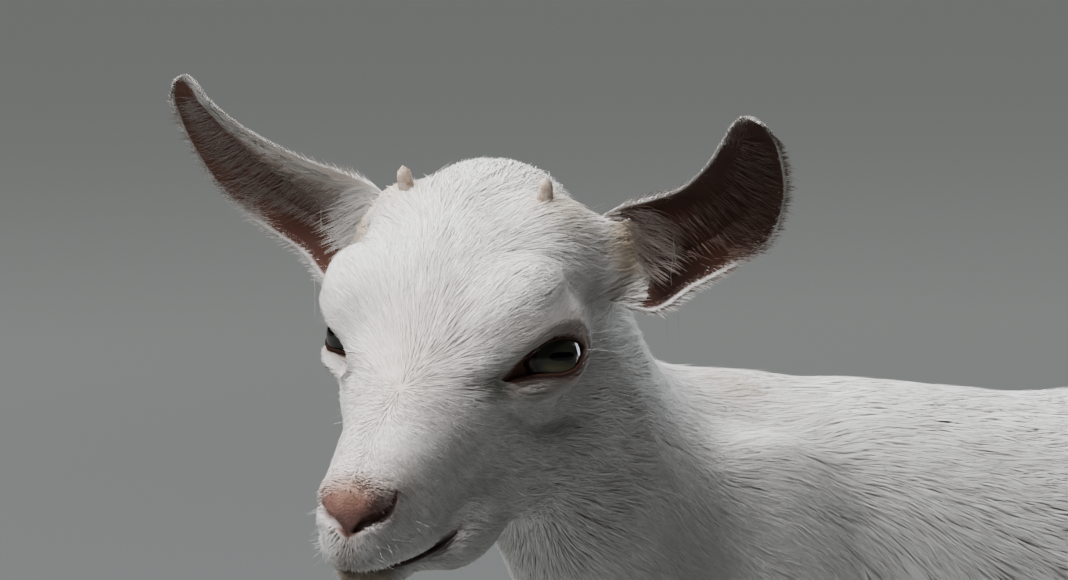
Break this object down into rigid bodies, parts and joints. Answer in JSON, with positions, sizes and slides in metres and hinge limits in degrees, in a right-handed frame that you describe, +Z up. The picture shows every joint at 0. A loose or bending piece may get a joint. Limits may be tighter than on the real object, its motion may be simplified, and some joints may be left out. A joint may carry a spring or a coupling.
{
  "type": "goat kid",
  "caption": "Life-size young white goat standing on flat hooves, head turned to its left, with upright ears, short horn buds and a soft shaggy coat; a still display model.",
  "frame": {"origin": "on the floor, below the middle of the overall box", "axes": "+Z up, the kid faces -Y, its left side is +X"},
  "size_m": [0.213, 0.5952, 0.4989],
  "materials": {
    "coat": "soft white hair over pale pink skin",
    "ear": "thin pink skin inside, white hair outside",
    "eye": "wet, olive iris with a dark level pupil",
    "horn": "rough tan horn",
    "claw": "satin amber horn"
  },
  "bodies": {
    "root": {"head": "coat", "neck": "coat", "trunk": "coat", "tail": "coat", "left_ear": "ear", "right_ear": "ear", "left_eye": "eye", "right_eye": "eye", "left_horn": "horn", "right_horn": "horn", "front_left_forearm": "coat", "front_left_cannon": "coat", "front_left_outer_claw": "claw", "front_left_outer_dewclaw": "claw", "front_left_inner_claw": "claw", "front_left_inner_dewclaw": "claw", "front_right_forearm": "coat", "front_right_cannon": "coat", "front_right_outer_claw": "claw", "front_right_outer_dewclaw": "claw", "front_right_inner_claw": "claw", "front_right_inner_dewclaw": "claw", "hind_left_gaskin": "coat", "hind_left_cannon": "coat", "hind_left_outer_claw": "claw", "hind_left_outer_dewclaw": "claw", "hind_left_inner_claw": "claw", "hind_left_inner_dewclaw": "claw", "hind_right_gaskin": "coat", "hind_right_cannon": "coat", "hind_right_outer_claw": "claw", "hind_right_outer_dewclaw": "claw", "hind_right_inner_claw": "claw", "hind_right_inner_dewclaw": "claw"}
  },
  "joints": []
}
